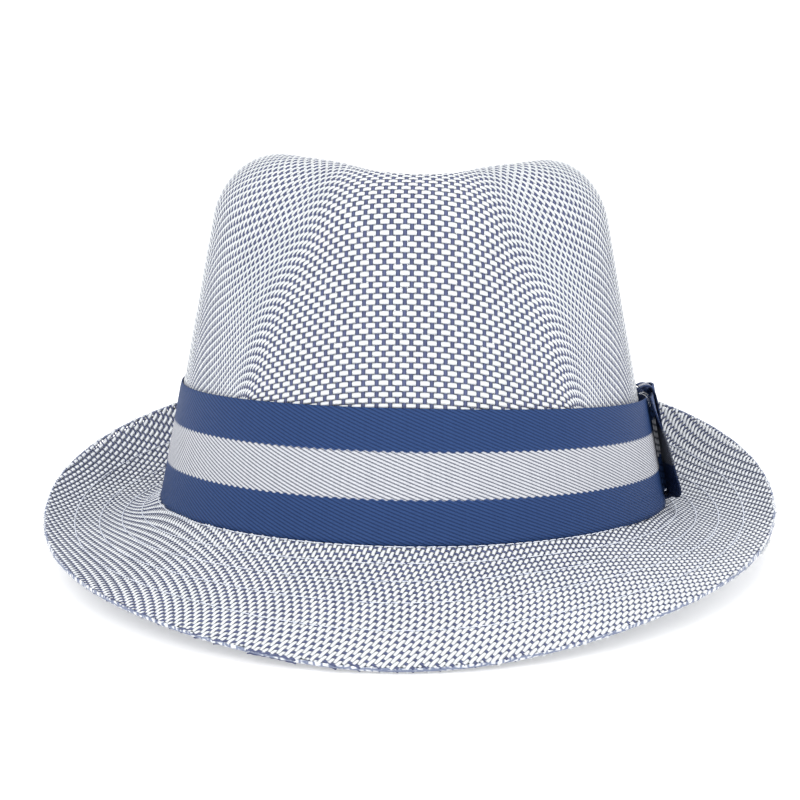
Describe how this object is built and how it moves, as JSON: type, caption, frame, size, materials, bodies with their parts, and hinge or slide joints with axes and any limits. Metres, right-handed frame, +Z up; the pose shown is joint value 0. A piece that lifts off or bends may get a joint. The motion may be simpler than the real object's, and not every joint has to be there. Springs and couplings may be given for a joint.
{
  "type": "trilby hat",
  "caption": "Short-brimmed woven paper-straw trilby with a pinched teardrop crown, a striped ribbon with a flat side bow, and an inner sweatband.",
  "frame": {"origin": "on the table, under the middle of the hat's bounding box as the hat rests on its front rim and the back of its headline", "axes": "+X towards the wearer's left, where the bow is; +Y towards the back of the hat; +Z up"},
  "size_m": [0.2511, 0.284, 0.1354],
  "materials": {
    "woven_straw": "flat white paper-straw strips woven over navy-blue warp strips, matt with a faint sheen",
    "stiffener_net": "matt starched net, hidden between the brim's plies",
    "pale_thread": "pale spun polyester thread, satin",
    "sweatband_cotton": "matt navy twill tape",
    "label_satin": "blank woven satin",
    "striped_twill": "navy, white and navy twill ribbon, satin",
    "clear_thread": "clear nylon monofilament, glossy"
  },
  "bodies": {
    "root": {"crown": "woven_straw", "brim_upper_ply": "woven_straw", "brim_stiffener": "stiffener_net", "brim_lower_ply": "woven_straw", "brim_stitch_row_1": "pale_thread", "brim_stitch_row_2": "pale_thread", "brim_stitch_row_3": "pale_thread", "brim_stitch_row_4": "pale_thread", "brim_stitch_row_5": "pale_thread", "headline_seam": "pale_thread", "sweatband": "sweatband_cotton", "sweatband_seam": "pale_thread", "sweatband_label": "label_satin", "ribbon": "striped_twill", "bow_front_wing": "striped_twill", "bow_rear_loop": "striped_twill", "bow_tail": "striped_twill", "bow_knot": "striped_twill", "ribbon_tack_front": "clear_thread", "ribbon_tack_rear": "clear_thread"}
  },
  "joints": []
}
